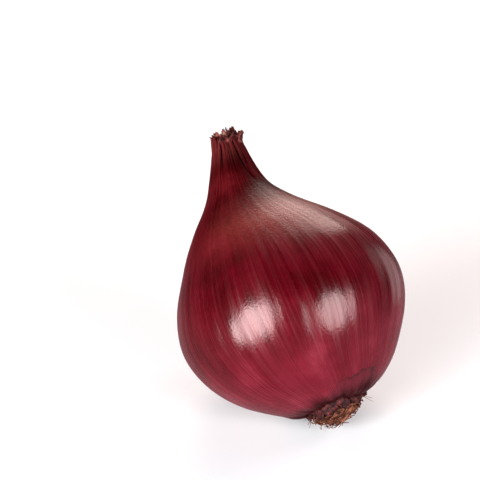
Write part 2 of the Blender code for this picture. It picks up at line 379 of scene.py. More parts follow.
def shape_skin(points):
    """The turned body's points moved to the skin's real shape, and what each point remembers."""
    angle = np.arctan2(points[:, 1], points[:, 0])
    height = points[:, 2]
    creases = pleat_depth(angle, height, fold_rules(), FOLD_SHARPNESS)
    creases = creases + pleat_depth(angle, height, crease_rules(), CREASE_SHARPNESS)
    share = skin_share(angle, height, creases, rib_height(angle, height))
    bare = smooth_step(*BARE_RISE, height - outer_edge(angle))
    share -= bare * OUTER_SKIN / TEAR_RADIUS
    ragged = waves(angle, CROWN_WAVES) * smooth_step(CROWN_FOOT, NECK_TOP, height)
    ragged += waves(angle, LIP_WAVES) * smooth_step(LIP_TOP, 0.0, height)
    shaped = np.column_stack((
        points[:, 0] * share + sway(height), points[:, 1] * share, height + ragged,
    ))
    memory = {
        "grain": np.column_stack((np.cos(angle), np.sin(angle), height / BELLY_RADIUS)),
        # painted shade in the creases, darkest where they are deepest
        "crease_shade": np.clip(creases / FULL_CREASE, 0.0, 1.0) ** 1.5,
        "dry": smooth_step(*DRY_RISE, height),
        "tip": smooth_step(*TIP_RISE, height),
        "matt": smooth_step(*MATT_RISE, height),
        # pale tan tinge with painted sheen, on one side of the shoulder; it also raises the gloss
        # there
        "shoulder": bell(*SHOULDER_BAND, height) * facing(angle, SHOULDER_SIDE) ** 3,
        # painted haze of sheen below the shoulder, on one side
        "sheen_haze": bell(*SHEEN_HAZE_BAND, height) * facing(angle, SHEEN_HAZE_SIDE) ** 7,
        "bare": bare,
        "tear": tear_darkness(angle, height),
        # lighter, pinker lower skin: partly its own tone, partly painted light from below
        "low": smooth_step(*LOW_RISE, height),
        # near-black foot: partly dark skin, partly painted shade where it meets the roots
        "foot": smooth_step(*FOOT_RISE, height + waves(angle, FOOT_WAVES)),
    }
    return shaped, memory


def remember(mesh, memory):
    """Stores arrays as point attributes: rows of three as vectors, single numbers as floats."""
    for name, values in memory.items():
        kind, field = ("FLOAT_VECTOR", "vector") if values.ndim == 2 else ("FLOAT", "value")
        attribute = mesh.attributes.new(name, kind, "POINT")
        attribute.data.foreach_set(field, values.astype(np.float32).ravel())


shaped, memory = shape_skin(read_points(skin.data))
write_points(skin.data, shaped)
remember(skin.data, memory)
print("the skin's own length is", round(1000 * np.ptp(shaped[:, 2]), 1), "mm")

# %% [markdown]
# ## Laying the onion down
#
# So far the onion stands upright in its own frame. On the table it leans over backwards with
# its neck to the left, and its weight gives it a small flat spot underneath. One matrix takes
# any piece from the upright frame to its place on the table, and the skin's box has to come out
# where the solid's box is.

# %% Find the onion's place on the table
LEAN = math.radians(39.6)
HEADING = math.radians(126.3)
TURN = math.radians(-122.8)
FLAT_DEPTH = 0.0008


def place_on_table():
    """The matrix from the upright frame to the table, where the skin fits the solid's box."""
    lean = (
        Matrix.Rotation(HEADING, 4, "Z")
        @ Matrix.Rotation(LEAN, 4, "Y")
        @ Matrix.Rotation(TURN, 4, "Z")
    )
    leaning = shaped @ np.array(lean.to_3x3()).T
    box_low, box_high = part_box("bulb")
    middle = (box_low + box_high) / 2
    own_middle = (leaning.min(axis=0) + leaning.max(axis=0)) / 2
    shift = (middle.x - own_middle[0], middle.y - own_middle[1],
             -leaning[:, 2].min() - FLAT_DEPTH)
    return Matrix.Translation(shift) @ lean


PLACE = place_on_table()


def lay_down(points):
    """Points of the upright frame, placed on the table. None of them may sink into it."""
    matrix = np.array(PLACE)
    placed = points @ matrix[:3, :3].T + matrix[:3, 3]
    placed[:, 2] = np.maximum(placed[:, 2], 0.0)
    return placed


laid_skin = lay_down(shaped)
write_points(skin.data, laid_skin)
print("the skin spans", np.round(1000 * np.ptp(laid_skin, axis=0), 1), "mm")

# %% [markdown]
# ## Camera
#
# The camera looks at the onion from the side of the photograph, a little from above. Three
# things are read from the picture: where the middle of the belly is, how big the belly is, and
# so how far off the camera's aim it lies. A long lens from 60 cm keeps the perspective mild.

# %% Camera at the photograph's viewing angle
PHOTO_SIDE = 480            # pixels
PHOTO_BELLY = (291, 311.5)  # pixels from the left and from the top
PHOTO_RADIUS = 116          # pixels
SEEN_RADIUS = 0.038         # metres that those pixels show
CAMERA_DISTANCE = 0.60
CAMERA_ELEVATION = math.radians(25)
SENSOR_WIDTH = 36.0         # millimetres


def add_camera():
    pixels_per_metre = PHOTO_RADIUS / SEEN_RADIUS
    data = bpy.data.cameras.new("camera")
    data.sensor_width = SENSOR_WIDTH
    data.lens = pixels_per_metre * CAMERA_DISTANCE / PHOTO_SIDE * SENSOR_WIDTH
    data.clip_start = 0.01
    camera = bpy.data.objects.new("camera", data)
    bpy.context.collection.objects.link(camera)
    ahead = Vector((0, math.cos(CAMERA_ELEVATION), -math.sin(CAMERA_ELEVATION)))
    up = Vector((0, math.sin(CAMERA_ELEVATION), math.cos(CAMERA_ELEVATION)))
    right = Vector((1, 0, 0))
    belly = PLACE @ Vector((0, 0, BELLY_HEIGHT))
    off_right = (PHOTO_BELLY[0] - PHOTO_SIDE / 2) / pixels_per_metre
    off_down = (PHOTO_BELLY[1] - PHOTO_SIDE / 2) / pixels_per_metre
    camera.location = belly - right * off_right + up * off_down - ahead * CAMERA_DISTANCE
    camera.rotation_euler = ahead.to_track_quat("-Z", "Y").to_euler()
    return camera


camera = add_camera()
bpy.context.scene.camera = camera
print("camera lens", round(camera.data.lens, 1), "mm")

# %% [markdown]
# ## Building materials from nodes
#
# A material here is a small network of nodes: a pattern, a ramp that turns it into colours, and
# a bump. A few helpers keep the networks short. Numbers that are the same all over are typed
# into the shader's own sockets.

# %% Helpers for materials
def new_material(name, roughness=0.5, gloss=0.5):
    """A material and its node tree, with the shader's constant numbers set."""
    material = bpy.data.materials.new(name)
    material.use_nodes = True
    tree = material.node_tree
    shader = tree.nodes["Principled BSDF"]
    shader.inputs["Roughness"].default_value = roughness
    shader.inputs["Specular IOR Level"].default_value = gloss
    return material, tree, shader


def add_node(tree, kind, settings=None, **inputs):
    """A node with its settings and inputs filled in. An input may be a value or another socket."""
    node = tree.nodes.new(kind)
    for name, value in (settings or {}).items():
        setattr(node, name, value)
    for name, value in inputs.items():
        socket = node.inputs[name.replace("_", " ")]
        if isinstance(value, bpy.types.NodeSocket):
            tree.links.new(value, socket)
        else:
            socket.default_value = value
    return node


def attribute(tree, name, output="Fac"):
    """A socket that gives one of the mesh's own attributes."""
    return add_node(tree, "ShaderNodeAttribute", {"attribute_name": name}).outputs[output]


def noise(tree, vector, scale, detail=4.0, roughness=0.55, stretch=(1, 1, 1)):
    """Soft noise from 0 to 1, stretched along the axes of its vector."""
    stretched = add_node(tree, "ShaderNodeMapping", Vector=vector, Scale=stretch)
    made = add_node(
        tree, "ShaderNodeTexNoise", Vector=stretched.outputs["Vector"], Scale=scale,
        Detail=detail, Roughness=roughness,
    )
    return made.outputs["Fac"]


def ramp(tree, fac, *stops):
    """A colour ramp from (position, colour or grey) stops."""
    node = add_node(tree, "ShaderNodeValToRGB", Fac=fac)
    elements = node.color_ramp.elements
    while len(elements) < len(stops):
        elements.new(0.5)
    for element, (position, colour) in zip(elements, stops):
        element.position = position
        if isinstance(colour, (int, float)):
            colour = (colour, colour, colour)
        element.color = (*colour, 1.0)
    return node.outputs["Color"]


def mix(tree, fac, first, second, blend="MIX"):
    """A blend of two colours."""
    node = tree.nodes.new("ShaderNodeMix")
    node.data_type = "RGBA"
    node.blend_type = blend
    for index, value in ((0, fac), (6, first), (7, second)):
        socket = node.inputs[index]
        if isinstance(value, bpy.types.NodeSocket):
            tree.links.new(value, socket)
        elif index == 0:
            socket.default_value = value
        else:
            socket.default_value = (*value, 1.0)
    return node.outputs[2]


def math_node(tree, operation, first, second):
    """One sum on two numbers or sockets."""
    node = tree.nodes.new("ShaderNodeMath")
    node.operation = operation
    for socket, value in zip(node.inputs, (first, second)):
        if isinstance(value, bpy.types.NodeSocket):
            tree.links.new(value, socket)
        else:
            socket.default_value = value
    return node.outputs["Value"]


def bump(tree, height, strength, distance, normal=None):
    """A bump from a height socket, on top of an earlier one if there is one."""
    node = add_node(tree, "ShaderNodeBump", Height=height, Strength=strength, Distance=distance)
    if normal is not None:
        tree.links.new(normal, node.inputs["Normal"])
    return node.outputs["Normal"]


def scaled(tree, value, factor):
    """A socket's value times a number."""
    return math_node(tree, "MULTIPLY", value, factor)


print("helpers ready")

# %% [markdown]
# ## The red skin
#
# Fresh onion skin is a glossy, deep crimson film over pale flesh. Its colour runs in streaks
# along the veins. Towards the roots it turns lighter and pinker, partly its own tone and partly
# painted light from below. On one side the shoulder has a pale tan tinge with painted sheen
# over it, and a painted haze of sheen runs in streaks below it. Towards the neck the skin turns
# dry, brown and matt, and the creases get painted shade. Below its torn edge the skin is a dull
# purple, and at its foot it turns near black, partly dark skin and partly painted shade where
# it meets the roots. Each of these is one coat over the colour below it, and the attributes
# that the mesh remembers say where it lies.

# %% Colour of the skin
DEEP_CRIMSON = (0.036, 0.0002, 0.0014)
CRIMSON = (0.059, 0.0004, 0.0032)
ROSE = (0.088, 0.0028, 0.0080)
# Lower skin colours, lighter and pinker: partly the skin's tone, partly painted light from below
LOW_CRIMSON = (0.071, 0.0012, 0.0056)
LOW_ROSE = (0.100, 0.0036, 0.0110)
LOW_PINK = (0.155, 0.0130, 0.0250)
# Pale tan of the shoulder: a tinge with painted sheen
SHOULDER_TAN_AND_SHEEN = (0.210, 0.0360, 0.0260)
# Pink of the painted sheen haze below the shoulder
SHEEN_HAZE_PINK = (0.220, 0.0500, 0.0560)
NECK_DARK = (0.014, 0.0002, 0.0003)
NECK_RED = (0.036, 0.0008, 0.0017)
NECK_LIGHT = (0.090, 0.0052, 0.0072)
TIP_BROWN = (0.175, 0.0330, 0.0310)
# Painted shade in the creases
CREASE_SHADE = (0.010, 0.0004, 0.0005)
BARE_PURPLE = (0.050, 0.0060, 0.0110)
# Near black at the foot: dark skin with painted shade where it meets the roots
FOOT_STAIN_AND_SHADE = (0.014, 0.0016, 0.0022)
THREAD_STRENGTH = 0.24
DRY_STRENGTH = 0.90
CREASE_SHADE_STRENGTH = 0.90
BARE_STRENGTH = 0.40
STAIN_AND_SHADE_STRENGTH = 0.90


def skin_colour(tree, grain, streaks):
    """The skin's colour: streaks along the veins, then the dry and stained places, painted sheen and
    painted shade over them.
    """
    place = add_node(tree, "ShaderNodeTexCoord").outputs["Object"]
    blotches = noise(tree, place, 85.0, 3.0, 0.55)
    bands = noise(tree, grain, 1.0, 3.0, 0.6, (8.0, 8.0, 0.5))
    threads = noise(tree, grain, 1.0, 3.0, 0.6, (74.0, 74.0, 1.8))
    speckle = noise(tree, place, 1100.0, 4.0, 0.7)
    pattern = math_node(
        tree, "ADD", math_node(tree, "ADD", scaled(tree, blotches, 0.56), scaled(tree, bands, 0.26)),
        scaled(tree, streaks, 0.18),
    )
    above = ramp(tree, pattern, (0.38, DEEP_CRIMSON), (0.50, CRIMSON), (0.66, ROSE))
    # Towards the roots: lighter and pinker, partly the skin's tone and partly painted light from
    # below
    below = ramp(tree, pattern, (0.38, LOW_CRIMSON), (0.52, LOW_ROSE), (0.66, LOW_PINK))
    colour = mix(tree, attribute(tree, "low"), above, below)
    fine = ramp(tree, threads, (0.35, 0.78), (0.58, 1.0), (0.78, 1.30))
    colour = mix(tree, THREAD_STRENGTH, colour, fine, "MULTIPLY")

    folds = math_node(tree, "ADD", scaled(tree, streaks, 0.6), scaled(tree, blotches, 0.4))
    neck = ramp(tree, folds, (0.42, NECK_DARK), (0.51, NECK_RED), (0.62, NECK_LIGHT))
    # Tan specks of the shoulder, with painted sheen
    tan = ramp(tree, speckle, (0.38, 0.40), (0.64, 0.95))
    # Painted streaks of sheen haze below the shoulder
    sheen_haze_streaks = ramp(tree, streaks, (0.40, 0.10), (0.62, 0.55))
    worn = ramp(tree, threads, (0.42, 0.05), (0.60, 0.60))
    neck = mix(tree, math_node(tree, "MULTIPLY", attribute(tree, "tip"), worn), neck, TIP_BROWN)
    # Dark foot and torn-edge line with its scab, with painted shade where the skin meets the roots
    stain_and_shade = math_node(tree, "MAXIMUM", attribute(tree, "foot"), attribute(tree, "tear"))
    for amount, coat in (
        (math_node(tree, "MULTIPLY", attribute(tree, "shoulder"), tan), SHOULDER_TAN_AND_SHEEN),
        (math_node(tree, "MULTIPLY", attribute(tree, "sheen_haze"), sheen_haze_streaks), SHEEN_HAZE_PINK),
        (scaled(tree, attribute(tree, "dry"), DRY_STRENGTH), neck),
        # painted shade in the creases
        (scaled(tree, attribute(tree, "crease_shade"), CREASE_SHADE_STRENGTH), CREASE_SHADE),
        (scaled(tree, attribute(tree, "bare"), BARE_STRENGTH), BARE_PURPLE),
        # dark foot and torn edge, with painted shade where the skin meets the roots
        (scaled(tree, stain_and_shade, STAIN_AND_SHADE_STRENGTH), FOOT_STAIN_AND_SHADE),
    ):
        colour = mix(tree, amount, colour, coat)
    return colour


print("the belly's deepest colour is", DEEP_CRIMSON)

# %% [markdown]
# ## Gloss and pores
#
# A highlight on onion skin isn't an even patch. Fine hairs along the veins make it streaky, and
# small pores fray its edges. So the roughness follows the veins, and two bumps, one along the
# veins and one of pores, bend the surface a little. The neck and the foot hardly shine, but the
# pale shoulder shines like the belly. The reflections are tinted, because part of the light
# comes back from just under the red film.

# %% Skin material
MATT_ROUGHNESS = 0.18      # added where the skin is matt
GLOSS = 0.50
GLOSS_RANGE = 0.44
GLOSS_TINT = (1.0, 0.72, 0.72)
PORES = 0.38
MATT_PORES = 0.90          # added where the skin is matt
PORE_DEPTH = 0.00013


def skin_gloss(tree, shader, grain, streaks):
    """Roughness and strength of the reflections: hairs along the veins, less where it is matt."""
    hairs = noise(tree, grain, 1.0, 2.0, 0.5, (64.0, 64.0, 1.2))
    brushed = math_node(tree, "ADD", scaled(tree, hairs, 0.45), scaled(tree, streaks, 0.55))
    rough = math_node(tree, "ADD", ramp(tree, brushed, (0.42, 0.18), (0.64, 0.38)),
                      scaled(tree, attribute(tree, "matt"), MATT_ROUGHNESS))
    tree.links.new(rough, shader.inputs["Roughness"])
    dull = math_node(tree, "MAXIMUM", attribute(tree, "matt"), attribute(tree, "foot"))
    polished = math_node(tree, "POWER", attribute(tree, "shoulder"), 2.0)
    shine = scaled(tree, math_node(tree, "SUBTRACT", polished, dull), GLOSS_RANGE)
    tree.links.new(math_node(tree, "ADD", shine, GLOSS), shader.inputs["Specular IOR Level"])
    shader.inputs["Specular Tint"].default_value = (*GLOSS_TINT, 1.0)


def skin_relief(tree, shader, grain):
    """Small pores over a soft relief along the veins."""
    relief = bump(tree, noise(tree, grain, 1.0, 1.0, 0.5, (26.0, 26.0, 0.9)), 0.35, 0.00004)
    pores = noise(tree, add_node(tree, "ShaderNodeTexCoord").outputs["Object"], 1450.0, 2.0, 0.5)
    coarse = math_node(tree, "ADD", scaled(tree, attribute(tree, "matt"), MATT_PORES), PORES)
    tree.links.new(bump(tree, pores, coarse, PORE_DEPTH, relief), shader.inputs["Normal"])


def skin_material():
    material, tree, shader = new_material("onion_skin")
    grain = attribute(tree, "grain", "Vector")
    streaks = noise(tree, grain, 1.0, 5.0, 0.65, (34.0, 34.0, 0.9))
    tree.links.new(skin_colour(tree, grain, streaks), shader.inputs["Base Color"])
    skin_gloss(tree, shader, grain, streaks)
    skin_relief(tree, shader, grain)
    return material


skin.data.materials.append(skin_material())
print("skin material has", len(skin.data.materials[0].node_tree.nodes), "nodes")

# %% [markdown]
# ## Blades of dry leaf
#
# The neck ends in torn leaf remains, thin as paper. A real one is a strip that curls across its
# width, narrows upwards and breaks off in a ragged line. A grid gives the strip its points, a
# few moves curl and crumple it, and a second, extruded side gives it a thickness. The noise
# that crumples it takes its seed from the clock unless one is set, so one is set here.

# %% Make one dry blade
NOISE_SEED = 8
LEAF_THICKNESS = 0.00024
FRAY = 0.22                # share of the length by which the end is ragged
TAPER = 0.25               # share of the width that is gone at the end
WIDE_CRUMPLES = 520        # how close together the crumples lie
FINE_CRUMPLES = 1300

space_noise.seed_set(NOISE_SEED)


def dry_blade(draw, length, width, curl, bend, crumple, rows=18, columns=12):
    """A torn, crumpled strip of dry leaf that stands on the origin and bends towards +X."""
    bm = bmesh.new()
    bmesh.ops.create_grid(bm, x_segments=columns, y_segments=rows, size=0.5)
    back = bmesh.ops.extrude_face_region(bm, geom=bm.faces[:])["geom"]
    bmesh.ops.translate(
        bm, verts=[part for part in back if isinstance(part, bmesh.types.BMVert)], vec=(0, 0, 1),
    )
    bmesh.ops.recalc_face_normals(bm, faces=bm.faces)
    elsewhere = Vector([draw.uniform(-50, 50) for axis in range(3)])
    tear = draw.uniform(-0.3, 0.3)
    for vert in bm.verts:
        across, up, outer = vert.co.x, vert.co.y + 0.5, vert.co.z
        fray = space_noise.noise(Vector((across * 9, 0, 0)) + elsewhere)
        fray += 0.5 * space_noise.noise(Vector((across * 25, 7, 0)) + elsewhere)
        along = up * (1.0 + (tear * across + FRAY * fray) * up ** 2) * length
        turned = bend * up
        depth = outer * LEAF_THICKNESS - curl * (2 * across) ** 2 * width
        middle = Vector((math.sin(turned / 2), 0, math.cos(turned / 2))) * along
        outwards = Vector((math.cos(turned), 0, -math.sin(turned)))
        place = middle + outwards * depth
        place.y = across * width * (1.0 - TAPER * up ** 2)
        flat = Vector((across * width, along, 0))
        folds = space_noise.noise_vector(flat * WIDE_CRUMPLES + elsewhere)
        folds += 0.5 * space_noise.noise_vector(flat * FINE_CRUMPLES + elsewhere)
        vert.co = place + folds * crumple * min(1.0, 2.0 * up)
    return bm


def join_into(target, bm, matrix):
    """Adds a bmesh to another one, moved by a matrix, and frees it."""
    bm.transform(matrix)
    spare = bpy.data.meshes.new("spare")
    bm.to_mesh(spare)
    bm.free()
    target.from_mesh(spare)
    bpy.data.meshes.remove(spare)


def settle(piece):
    """Lays a piece that was made in the upright frame on the table."""
    write_points(piece.data, lay_down(read_points(piece.data)))
    return piece


print("noise seed for the crumpled blades:", NOISE_SEED)

# %% [markdown]
# ## The torn top of the neck
#
# Forty blades stand in the neck's mouth. Eleven have a place of their own, which is read from
# the picture: a pale curl that sticks up, dark flaps on the right, and crumpled pieces that
# hang over the rim. The rest stand in two rings behind and between them. All of them start
# well below the rim, so that none floats.

# %% Fill the neck with torn blades
BLADE_FOOT = NECK_TOP - 0.0036
BLADE_CURLS = (0.05, 0.30)
BLADE_CRUMPLES = (0.0005, 0.0009)
FLAKES = (
    # degrees round the neck, out and aside from its middle, length, width, bend
    (275, 0.0006, 0.0030, 0.0063, 0.0034, -0.1),   # pale curl that sticks up
    (285, 0.0016, 0.0012, 0.0066, 0.0032, 0.1),
    (265, 0.0018, -0.0010, 0.0060, 0.0034, 0.1),
    (255, 0.0014, -0.0028, 0.0054, 0.0030, 0.1),
    (270, 0.0004, 0.0002, 0.0066, 0.0014, 0.0),
    (245, 0.0024, -0.0020, 0.0056, 0.0034, 0.0),
    (350, 0.0050, 0.0000, 0.0038, 0.0038, 0.9),    # dark flaps on the right
    (332, 0.0052, 0.0004, 0.0036, 0.0032, 1.0),
    (285, 0.0034, 0.0000, 0.0046, 0.0036, 2.2),    # crumpled pieces that hang over the rim
    (312, 0.0036, 0.0004, 0.0048, 0.0034, 2.0),
    (262, 0.0034, 0.0000, 0.0044, 0.0026, 1.9),
)
BLADE_RINGS = (
    # how many, then the ranges of out, length, width and bend
    (15, (0.0031, 0.0038), (0.0040, 0.0047), (0.0026, 0.0044), (-0.7, 0.5)),
    (14, (0.0004, 0.0026), (0.0040, 0.0050), (0.0020, 0.0034), (-0.8, 0.5)),
)


def torn_neck():
    draw = random.Random(13)
    plans = list(FLAKES)
    for count, *ranges in BLADE_RINGS:
        for number in range(count):
            turned = (number + draw.uniform(-0.3, 0.3)) * 360 / count
            out, length, width, bend = (draw.uniform(*ends) for ends in ranges)
            plans.append((turned, out, 0.0, length, width, bend))
    top = bmesh.new()
    for turned, out, aside, length, width, bend in plans:
        blade = dry_blade(
            draw, length=length, width=width, curl=draw.uniform(*BLADE_CURLS), bend=bend,
            crumple=draw.uniform(*BLADE_CRUMPLES),
        )
        join_into(top, blade,
                  Matrix.Translation((float(sway(NECK_TOP)), 0, BLADE_FOOT))
                  @ Matrix.Rotation(math.radians(turned), 4, "Z")
                  @ Matrix.Translation((out, aside, 0)))
    return new_piece("torn_leaf_ends", top)


leaf_ends = settle(torn_neck())
print("torn leaf ends:", len(leaf_ends.data.polygons), "faces")

# %% [markdown]
# ## Dry leaf finish
#
# Dry leaf is matt and brown with a red cast, with paler patches. A noise in the object's own
# coordinates picks one of four colours, and a finer one roughens it.

# %% Dry leaf material
def leaf_material():
    material, tree, shader = new_material("dry_leaf", 0.7, 0.2)
    place = add_node(tree, "ShaderNodeTexCoord").outputs["Object"]
    patches = noise(tree, place, 420.0, 4.0, 0.6)
    fibres = noise(tree, place, 2600.0, 3.0, 0.6)
    colour = ramp(tree, patches, (0.38, (0.026, 0.002, 0.003)), (0.50, (0.080, 0.010, 0.010)),
                  (0.60, (0.190, 0.052, 0.040)), (0.72, (0.380, 0.190, 0.140)))
    colour = mix(tree, 0.5, colour, ramp(tree, fibres, (0.3, 0.5), (0.7, 1.3)), "MULTIPLY")
    tree.links.new(colour, shader.inputs["Base Color"])
    tree.links.new(bump(tree, fibres, 0.4, 0.0002), shader.inputs["Normal"])
    return material


leaf_ends.data.materials.append(leaf_material())
print("leaf ends dressed")

# %% [markdown]
# ## The root plate
#
# The roots grow from a corky plate in the foot of the bulb. It is another turned shape, a low
# dome, with small bumps where roots have broken off. It fills the socket in the skin.

# %% Turn the root plate
PLATE_RADIUS = 0.0089
PLATE_BULGE = 0.0034
PLATE_BACK = 0.0017
PLATE_SEGMENTS = 120
PLATE_BUMPS = 0.00016


def root_plate():
    arc = [
        (PLATE_RADIUS * math.sin(math.radians(a)), -PLATE_BULGE * math.cos(math.radians(a)))
        for a in range(0, 91, 3)
    ]
    profile = arc + [(PLATE_RADIUS, PLATE_BACK), (0.0, PLATE_BACK)]
    plate = new_piece("root_plate", turned_body(profile, PLATE_SEGMENTS))
    points = read_points(plate.data)
    front = points[:, 2] < 0
    bumps = PLATE_BUMPS * (
        np.sin(points[:, 0] * 2300) * np.sin(points[:, 1] * 2100 + 1.0)
        + np.sin(points[:, 0] * 1250 + points[:, 1] * 1500)
    )
    points[:, 2] += np.where(front, bumps, 0.0)
    points[:, 0] += ROOT_SWAY
    write_points(plate.data, points)
    return plate


plate = settle(root_plate())
print("root plate:", len(plate.data.polygons), "faces")

# %% [markdown]
# ## Threads
#
# A dry root is as thin as a thread, so a tube with few sides is enough for it. Rings are set
# along a path, each turned to look along it, and bridged. A curve object with a bevel would do
# the same, but each of hundreds would have to be made a mesh and joined to the others.

# %% Make a thread along a path
THREAD_SIDES = 5


def tube(path, radius, sides, taper):
    """A closed thread along a path, thinner at its end."""
    bm = bmesh.new()
    rings = []
    last = len(path) - 1
    heading = Vector((0, 0, 1))
    turn = Matrix.Identity(4)
    for number, point in enumerate(path):
        ahead = (path[min(number + 1, last)] - path[max(number - 1, 0)]).normalized()
        turn = heading.rotation_difference(ahead).to_matrix().to_4x4() @ turn
        heading = ahead
        ring = bmesh.ops.create_circle(
            bm, segments=sides, radius=radius * (1.0 - taper * (number / last) ** 1.5),
            cap_ends=number in (0, last), matrix=Matrix.Translation(point) @ turn,
        )["verts"]
        rings.append(list({edge for vert in ring for edge in vert.link_edges}))
    for low, high in zip(rings, rings[1:]):
        bmesh.ops.bridge_loops(bm, edges=low + high)
    bmesh.ops.recalc_face_normals(bm, faces=bm.faces)
    return bm


print("a thread has", THREAD_SIDES, "sides")

# %% [markdown]
# ## Dry roots
#
# Hundreds of short, dry roots mat together under the bulb. Each follows a path that leaves the
# plate, bends sideways and turns back, and is kept off the skin and the table. They are shorter
# on the right, as in the picture. A few longer ones sweep round under the mat, and fine hairs
# stick out from it.

# %% Paths of the roots
ROOTS = 420
ROOT_STEPS = 7
ROOT_SUNK = 0.0011                   # how deep a root starts inside the plate
ROOT_SPREAD = 0.0080                 # radius over which the roots start
ROOT_LENGTHS = (0.0042, 0.0078)
ROOT_SHORT_SIDE = math.radians(335)
ROOT_SHORTENING = 0.35
ROOT_KINK = 0.22
ROOT_GAP = 0.0009                    # least way from the skin's foot and from the table
SWEEP_STARTS = (325, 350)            # degrees
SWEEP_TURNS = (60, 95)               # degrees
SWEEP_DEPTHS = (0.0056, 0.0068)
HAIR_SIDES = (340, 350, 205, 230)    # degrees
HAIR_START = 0.0088
HAIR_LENGTHS = (0.0020, 0.0034)


def off_the_table(point):
    """The point, lifted where it would be nearer to the table than a root is thick."""
    laid = PLACE @ point
    laid.z = max(laid.z, ROOT_GAP)
    return PLACE.inverted() @ laid


def root_path(number, draw):
    """The middle line of one root in the upright frame."""
    share = math.sqrt((number + 0.5) / ROOTS)
    around = number * math.pi * (3 - math.sqrt(5))
    outward = Vector((math.cos(around), math.sin(around), 0))
    sideways = Vector((-outward.y, outward.x, 0)) * draw.choice((-1, 1))
    rightward = 0.5 + 0.5 * math.cos(around - ROOT_SHORT_SIDE)
    length = draw.uniform(*ROOT_LENGTHS) * (1.0 - ROOT_SHORTENING * rightward)
    heading = Vector((0, 0, -1)) + outward * (0.3 * share + draw.uniform(-0.3, 0.3))
    bend = sideways * draw.uniform(0.2, 1.3) - outward * draw.uniform(0.1, 0.9) * share
    bend.z = draw.uniform(0.0, 0.9)
    point = outward * ROOT_SPREAD * share + Vector((ROOT_SWAY, 0, 0))
    point.z = ROOT_SUNK - PLATE_BULGE * math.sqrt(1 - share ** 2)
    path = [point.copy()]
    for step in range(ROOT_STEPS):
        kink = Vector([draw.uniform(-1, 1) for axis in range(3)]) * ROOT_KINK
        heading = (heading + bend * (0.30 * step) + kink).normalized()
        point = point + heading * (length + ROOT_SUNK) / ROOT_STEPS
        if step > 0:
            point.z = min(point.z, -ROOT_GAP)
        point = off_the_table(point)
        path.append(point.copy())
    return path


def sweeping_path(draw):
    """A long root that leaves the plate's edge and sweeps round under the others."""
    start = math.radians(draw.uniform(*SWEEP_STARTS))
    turned = math.radians(draw.uniform(*SWEEP_TURNS))
    deep = draw.uniform(*SWEEP_DEPTHS)
    path = []
    for step in range(ROOT_STEPS + 1):
        t = step / ROOT_STEPS
        angle = start - turned * t
        radius = ROOT_SPREAD * (1.0 - 0.5 * t ** 1.4) + draw.uniform(-0.0002, 0.0002)
        height = 0.0004 - deep * math.sin(t * math.pi / 2)
        point = Vector((ROOT_SWAY + radius * math.cos(angle), radius * math.sin(angle), height))
        path.append(off_the_table(point))
    return path


def hair_path(draw):
    """A fine, short root that sticks out sideways from under the skin's lip."""
    angle = math.radians(draw.choice(HAIR_SIDES) + draw.uniform(-12, 12))
    outward = Vector((math.cos(angle), math.sin(angle), 0))
    heading = outward + Vector((0, 0, -draw.uniform(0.7, 1.2)))
    length = draw.uniform(*HAIR_LENGTHS)
    start = outward * HAIR_START + Vector((ROOT_SWAY, 0, -0.0004))
    return [off_the_table(start + heading * length * step / 3) for step in range(4)]


print("a root has", ROOT_STEPS, "steps and starts", 1000 * ROOT_SUNK, "mm deep in the plate")

# %% Grow the roots
SWEEPING_ROOTS = 9
HAIRS = 9
ROOT_RADII = (0.00012, 0.00026)
ROOT_TAPERS = (0.2, 0.6)
SWEEP_RADII = (0.00020, 0.00034)
HAIR_RADIUS = 0.00009
LONG_TAPER = 0.5                     # how much thinner the long roots and hairs end


def grow_roots():
    draw = random.Random(7)
    tuft = bmesh.new()
    upright = Matrix.Identity(4)
    for number in range(ROOTS):
        path = root_path(number, draw)
        thread = tube(path, draw.uniform(*ROOT_RADII), THREAD_SIDES, draw.uniform(*ROOT_TAPERS))
        join_into(tuft, thread, upright)
    for number in range(SWEEPING_ROOTS):
        thread = tube(sweeping_path(draw), draw.uniform(*SWEEP_RADII), THREAD_SIDES, LONG_TAPER)
        join_into(tuft, thread, upright)
    for number in range(HAIRS):
        join_into(tuft, tube(hair_path(draw), HAIR_RADIUS, THREAD_SIDES, LONG_TAPER), upright)
    return new_piece("dry_roots", tuft)


roots = settle(grow_roots())
print("dry roots:", len(roots.data.polygons), "faces")

# %% [markdown]
# ## Root finish
#
# Dry roots are straw to golden brown. The plate is the same colour but darker still, like
# cork.

# %% Root and plate materials
ROOT_COLOURS = ((0.026, 0.006, 0.003), (0.090, 0.022, 0.011), (0.270, 0.095, 0.050))
CORK_COLOURS = ((0.006, 0.002, 0.002), (0.018, 0.005, 0.004), (0.045, 0.012, 0.008))


def root_material(name, colours, grain_scale, relief):
    material, tree, shader = new_material(name, 0.75, 0.2)
    place = add_node(tree, "ShaderNodeTexCoord").outputs["Object"]
    patches = noise(tree, place, grain_scale, 3.0, 0.6)
    specks = noise(tree, place, grain_scale * 6, 3.0, 0.6)
    colour = ramp(tree, patches, *zip((0.34, 0.50, 0.66), colours))
    colour = mix(tree, 0.5, colour, ramp(tree, specks, (0.3, 0.45), (0.7, 1.3)), "MULTIPLY")
    tree.links.new(colour, shader.inputs["Base Color"])
    tree.links.new(bump(tree, specks, 0.5, relief), shader.inputs["Normal"])
    return material


roots.data.materials.append(root_material("dry_root", ROOT_COLOURS, 700.0, 0.0001))
plate.data.materials.append(root_material("root_cork", CORK_COLOURS, 450.0, 0.0003))
print("roots and plate dressed")

# %% [markdown]
# ## Torn skin round the roots
#
# The outer skin breaks off round the root plate in small dark flaps. They are the same blades
# as at the neck, only shorter and pointing the other way, and they hide the joint between the
# skin and the plate.

